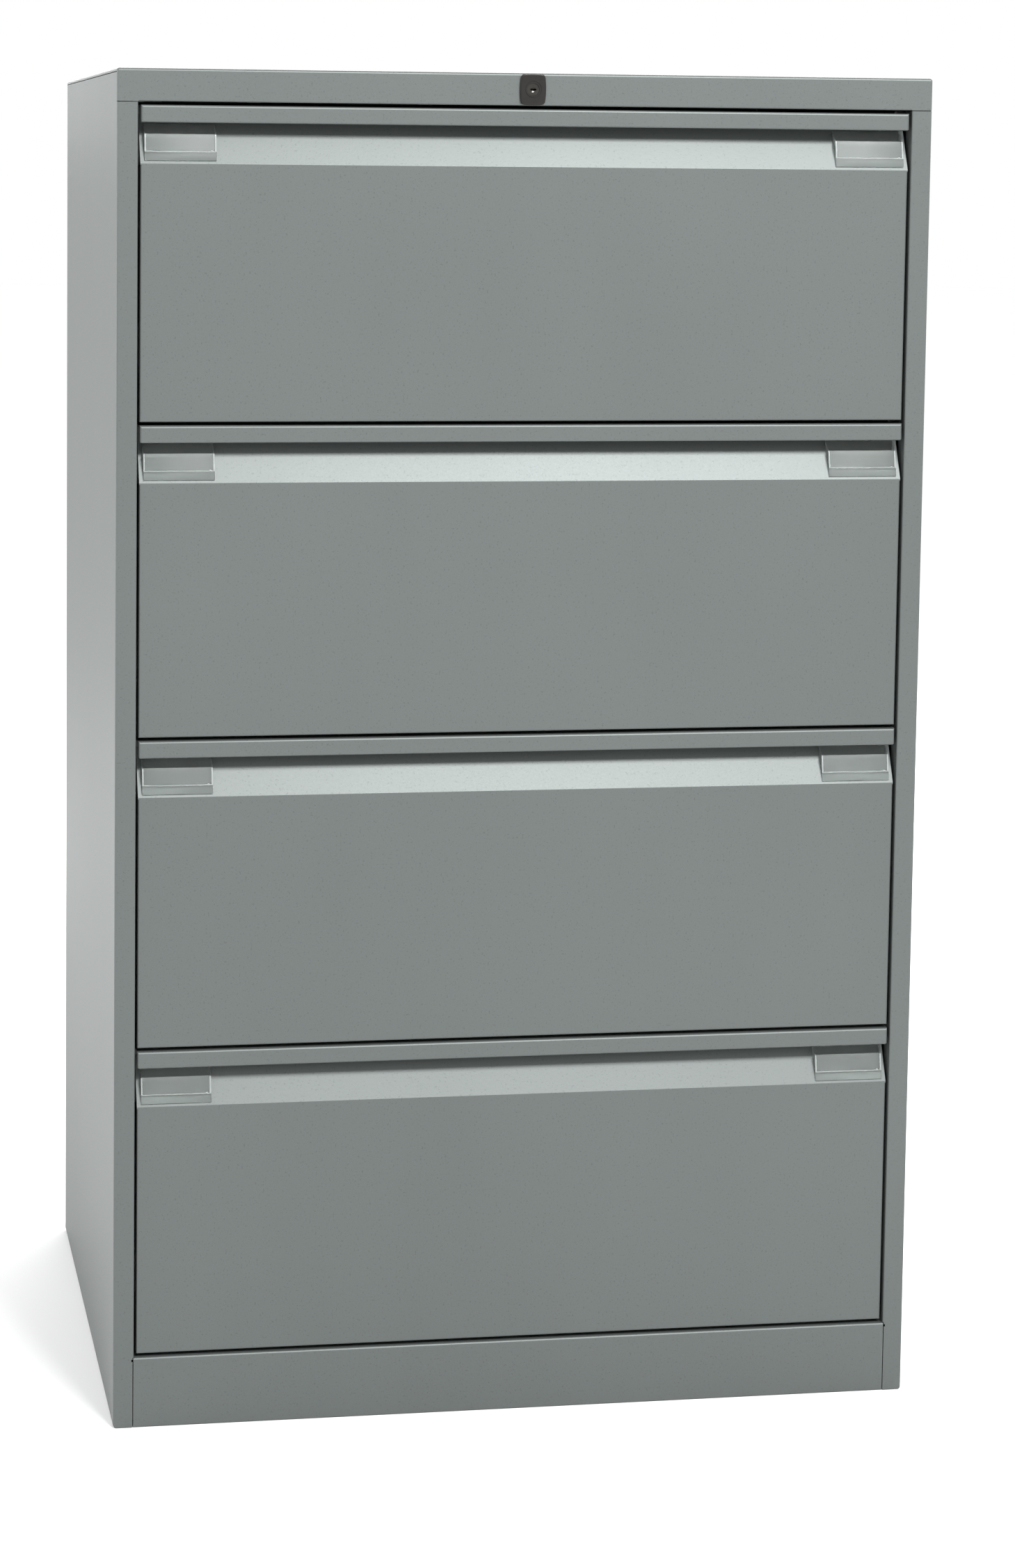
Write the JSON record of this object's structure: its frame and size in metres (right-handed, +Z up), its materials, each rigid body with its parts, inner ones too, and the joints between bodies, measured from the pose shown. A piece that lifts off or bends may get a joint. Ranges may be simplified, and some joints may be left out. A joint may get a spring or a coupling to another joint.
{
  "type": "filing cabinet",
  "caption": "Wide grey steel filing cabinet with flush drawers on telescopic runners, folded pull lips over sloped hand recesses, clear label holders and a top lock.",
  "frame": {"origin": "centre of the overall box at floor level", "axes": "+Z up, drawers open towards -Y, +X to the right when facing the drawers"},
  "size_m": [0.8, 0.622, 1.321],
  "materials": {
    "casing_paint": "satin",
    "drawer_paint": "satin",
    "tray_paint": "satin",
    "zinc": "satin",
    "bright_zinc": "satin",
    "ball_steel": "polished",
    "clear_plastic": "gloss",
    "lock_plastic": "matte",
    "nickel": "polished"
  },
  "bodies": {
    "casing": {"back_panel": "casing_paint", "base_pan": "casing_paint", "drawer_1_runner_outer": "zinc", "drawer_2_runner_outer": "zinc", "drawer_3_runner_outer": "zinc", "drawer_4_runner_outer": "zinc", "foot_gussets": "zinc", "foot_nuts": "bright_zinc", "lock_guides": "zinc", "lock_housing": "lock_plastic", "plinth_panel": "casing_paint", "runner_posts": "zinc", "side_panel_left": "casing_paint", "side_panel_right": "casing_paint", "top_panel": "casing_paint"},
    "drawer_1_middle": {"drawer_1_ball_cages": "ball_steel", "drawer_1_runner_middle": "zinc"},
    "drawer_1": {"drawer_1_centre_rail": "zinc", "drawer_1_front": "drawer_paint", "drawer_1_inner_front": "drawer_paint", "drawer_1_label_holders": "clear_plastic", "drawer_1_lock_stud": "nickel", "drawer_1_runner_inner": "zinc", "drawer_1_tray": "tray_paint"},
    "drawer_2_middle": {"drawer_2_ball_cages": "ball_steel", "drawer_2_runner_middle": "zinc"},
    "drawer_2": {"drawer_2_centre_rail": "zinc", "drawer_2_front": "drawer_paint", "drawer_2_inner_front": "drawer_paint", "drawer_2_label_holders": "clear_plastic", "drawer_2_lock_stud": "nickel", "drawer_2_runner_inner": "zinc", "drawer_2_tray": "tray_paint"},
    "drawer_3_middle": {"drawer_3_ball_cages": "ball_steel", "drawer_3_runner_middle": "zinc"},
    "drawer_3": {"drawer_3_centre_rail": "zinc", "drawer_3_front": "drawer_paint", "drawer_3_inner_front": "drawer_paint", "drawer_3_label_holders": "clear_plastic", "drawer_3_lock_stud": "nickel", "drawer_3_runner_inner": "zinc", "drawer_3_tray": "tray_paint"},
    "drawer_4_middle": {"drawer_4_ball_cages": "ball_steel", "drawer_4_runner_middle": "zinc"},
    "drawer_4": {"drawer_4_centre_rail": "zinc", "drawer_4_front": "drawer_paint", "drawer_4_inner_front": "drawer_paint", "drawer_4_label_holders": "clear_plastic", "drawer_4_lock_stud": "nickel", "drawer_4_runner_inner": "zinc", "drawer_4_tray": "tray_paint"},
    "foot_front_left": {"foot_front_left": "bright_zinc"},
    "foot_front_right": {"foot_front_right": "bright_zinc"},
    "foot_rear_left": {"foot_rear_left": "bright_zinc"},
    "foot_rear_right": {"foot_rear_right": "bright_zinc"},
    "lock_bar": {"lock_bar": "zinc", "lock_fingers": "zinc"},
    "lock_barrel": {"lock_cam": "nickel", "lock_cylinder": "nickel"},
    "lock_slide": {"lock_slide": "zinc"}
  },
  "joints": [
    {"name": "drawer_1_slide", "type": "slide", "parent": "casing", "child": "drawer_1", "axis": [0, -1, 0], "range_m": [0, 0.53]},
    {"name": "drawer_1_middle_slide", "type": "slide", "parent": "casing", "child": "drawer_1_middle", "axis": [0, -1, 0], "range_m": [0, 0.265]},
    {"name": "drawer_2_slide", "type": "slide", "parent": "casing", "child": "drawer_2", "axis": [0, -1, 0], "range_m": [0, 0.53]},
    {"name": "drawer_2_middle_slide", "type": "slide", "parent": "casing", "child": "drawer_2_middle", "axis": [0, -1, 0], "range_m": [0, 0.265]},
    {"name": "drawer_3_slide", "type": "slide", "parent": "casing", "child": "drawer_3", "axis": [0, -1, 0], "range_m": [0, 0.53]},
    {"name": "drawer_3_middle_slide", "type": "slide", "parent": "casing", "child": "drawer_3_middle", "axis": [0, -1, 0], "range_m": [0, 0.265]},
    {"name": "drawer_4_slide", "type": "slide", "parent": "casing", "child": "drawer_4", "axis": [0, -1, 0], "range_m": [0, 0.53]},
    {"name": "drawer_4_middle_slide", "type": "slide", "parent": "casing", "child": "drawer_4_middle", "axis": [0, -1, 0], "range_m": [0, 0.265]},
    {"name": "lock_bar_lift", "type": "slide", "parent": "casing", "child": "lock_bar", "axis": [0, 0, 1], "range_m": [0, 0.0099]},
    {"name": "lock_slide_shift", "type": "slide", "parent": "casing", "child": "lock_slide", "axis": [-1, 0, 0], "range_m": [0, 0.0099]},
    {"name": "lock_barrel_turn", "type": "hinge", "parent": "casing", "child": "lock_barrel", "pos_m": [0, -0.308, 1.3055], "axis": [0, 1, 0], "range_deg": [0, 90]},
    {"name": "foot_front_left_screw", "type": "slide", "parent": "casing", "child": "foot_front_left", "axis": [0, 0, -1], "range_m": [0, 0.015]},
    {"name": "foot_front_right_screw", "type": "slide", "parent": "casing", "child": "foot_front_right", "axis": [0, 0, -1], "range_m": [0, 0.015]},
    {"name": "foot_rear_left_screw", "type": "slide", "parent": "casing", "child": "foot_rear_left", "axis": [0, 0, -1], "range_m": [0, 0.015]},
    {"name": "foot_rear_right_screw", "type": "slide", "parent": "casing", "child": "foot_rear_right", "axis": [0, 0, -1], "range_m": [0, 0.015]}
  ],
  "couplings": [
    {"joint": "drawer_1_middle_slide", "follows": "drawer_1_slide", "ratio": 0.5},
    {"joint": "drawer_2_middle_slide", "follows": "drawer_2_slide", "ratio": 0.5},
    {"joint": "drawer_3_middle_slide", "follows": "drawer_3_slide", "ratio": 0.5},
    {"joint": "drawer_4_middle_slide", "follows": "drawer_4_slide", "ratio": 0.5},
    {"joint": "lock_slide_shift", "follows": "lock_bar_lift", "ratio": 1},
    {"joint": "lock_barrel_turn", "follows": "lock_bar_lift", "rad_per_m": 158.66}
  ]
}
